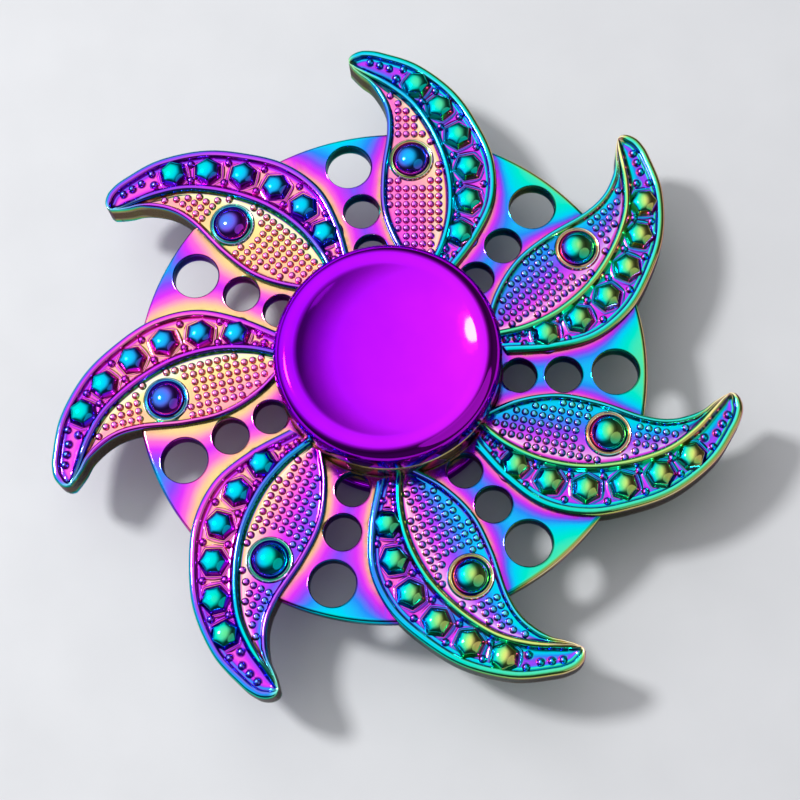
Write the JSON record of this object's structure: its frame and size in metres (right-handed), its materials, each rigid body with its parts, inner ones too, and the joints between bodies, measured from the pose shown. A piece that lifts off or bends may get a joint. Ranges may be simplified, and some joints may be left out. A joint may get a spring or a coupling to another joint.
{
  "type": "fidget spinner",
  "caption": "Hand spinner: a plated die-cast star of curved blades on a perforated disc, turning on a shielded ball bearing between two dished finger caps.",
  "frame": {"origin": "middle of the bearing, on the spin axis and on the middle plane of the rotor", "axes": "+Z along the spin axis, out of the front cap; +Y through the first row of holes"},
  "size_m": [0.0733, 0.0734, 0.0164],
  "materials": {
    "rainbow_plating": "polished vacuum plating that runs from gold through magenta and blue to cyan",
    "violet_plating": "mirror-polished violet plating",
    "bearing_steel": "ground and polished bearing steel",
    "cage_steel": "pressed steel strip, satin",
    "shield_steel": "zinc-coated steel sheet, satin"
  },
  "bodies": {
    "hub": {"front_cap": "violet_plating", "rear_cap": "violet_plating", "bearing_inner_race": "bearing_steel"},
    "rotor": {"rotor_casting": "rainbow_plating", "bearing_outer_race": "bearing_steel", "shield_front": "shield_steel", "shield_rear": "shield_steel", "snap_ring_front": "shield_steel", "snap_ring_rear": "shield_steel"},
    "cage": {"cage_half_front": "cage_steel", "cage_half_rear": "cage_steel", "cage_rivet_1": "cage_steel", "cage_rivet_2": "cage_steel", "cage_rivet_3": "cage_steel", "cage_rivet_4": "cage_steel", "cage_rivet_5": "cage_steel", "cage_rivet_6": "cage_steel", "cage_rivet_7": "cage_steel"},
    "ball_1": {"bearing_ball_1": "bearing_steel"},
    "ball_2": {"bearing_ball_2": "bearing_steel"},
    "ball_3": {"bearing_ball_3": "bearing_steel"},
    "ball_4": {"bearing_ball_4": "bearing_steel"},
    "ball_5": {"bearing_ball_5": "bearing_steel"},
    "ball_6": {"bearing_ball_6": "bearing_steel"},
    "ball_7": {"bearing_ball_7": "bearing_steel"}
  },
  "joints": [
    {"name": "rotor_spin", "type": "hinge", "parent": "hub", "child": "rotor", "pos_m": [0, 0, 0], "axis": [0, 0, 1], "continuous": true},
    {"name": "cage_spin", "type": "hinge", "parent": "hub", "child": "cage", "pos_m": [0, 0, 0], "axis": [0, 0, 1], "continuous": true},
    {"name": "ball_1_roll", "type": "hinge", "parent": "cage", "child": "ball_1", "pos_m": [0.0075, 0, 0], "axis": [0, 0, 1], "continuous": true},
    {"name": "ball_2_roll", "type": "hinge", "parent": "cage", "child": "ball_2", "pos_m": [0.00468, 0.00586, 0], "axis": [0, 0, 1], "continuous": true},
    {"name": "ball_3_roll", "type": "hinge", "parent": "cage", "child": "ball_3", "pos_m": [-0.00167, 0.00731, 0], "axis": [0, 0, 1], "continuous": true},
    {"name": "ball_4_roll", "type": "hinge", "parent": "cage", "child": "ball_4", "pos_m": [-0.00676, 0.00325, 0], "axis": [0, 0, 1], "continuous": true},
    {"name": "ball_5_roll", "type": "hinge", "parent": "cage", "child": "ball_5", "pos_m": [-0.00676, -0.00325, 0], "axis": [0, 0, 1], "continuous": true},
    {"name": "ball_6_roll", "type": "hinge", "parent": "cage", "child": "ball_6", "pos_m": [-0.00167, -0.00731, 0], "axis": [0, 0, 1], "continuous": true},
    {"name": "ball_7_roll", "type": "hinge", "parent": "cage", "child": "ball_7", "pos_m": [0.00468, -0.00586, 0], "axis": [0, 0, 1], "continuous": true}
  ],
  "couplings": [
    {"joint": "cage_spin", "follows": "rotor_spin", "ratio": 0.63233},
    {"joint": "ball_1_roll", "follows": "rotor_spin", "ratio": 1.7568},
    {"joint": "ball_2_roll", "follows": "rotor_spin", "ratio": 1.7568},
    {"joint": "ball_3_roll", "follows": "rotor_spin", "ratio": 1.7568},
    {"joint": "ball_4_roll", "follows": "rotor_spin", "ratio": 1.7568},
    {"joint": "ball_5_roll", "follows": "rotor_spin", "ratio": 1.7568},
    {"joint": "ball_6_roll", "follows": "rotor_spin", "ratio": 1.7568},
    {"joint": "ball_7_roll", "follows": "rotor_spin", "ratio": 1.7568}
  ]
}
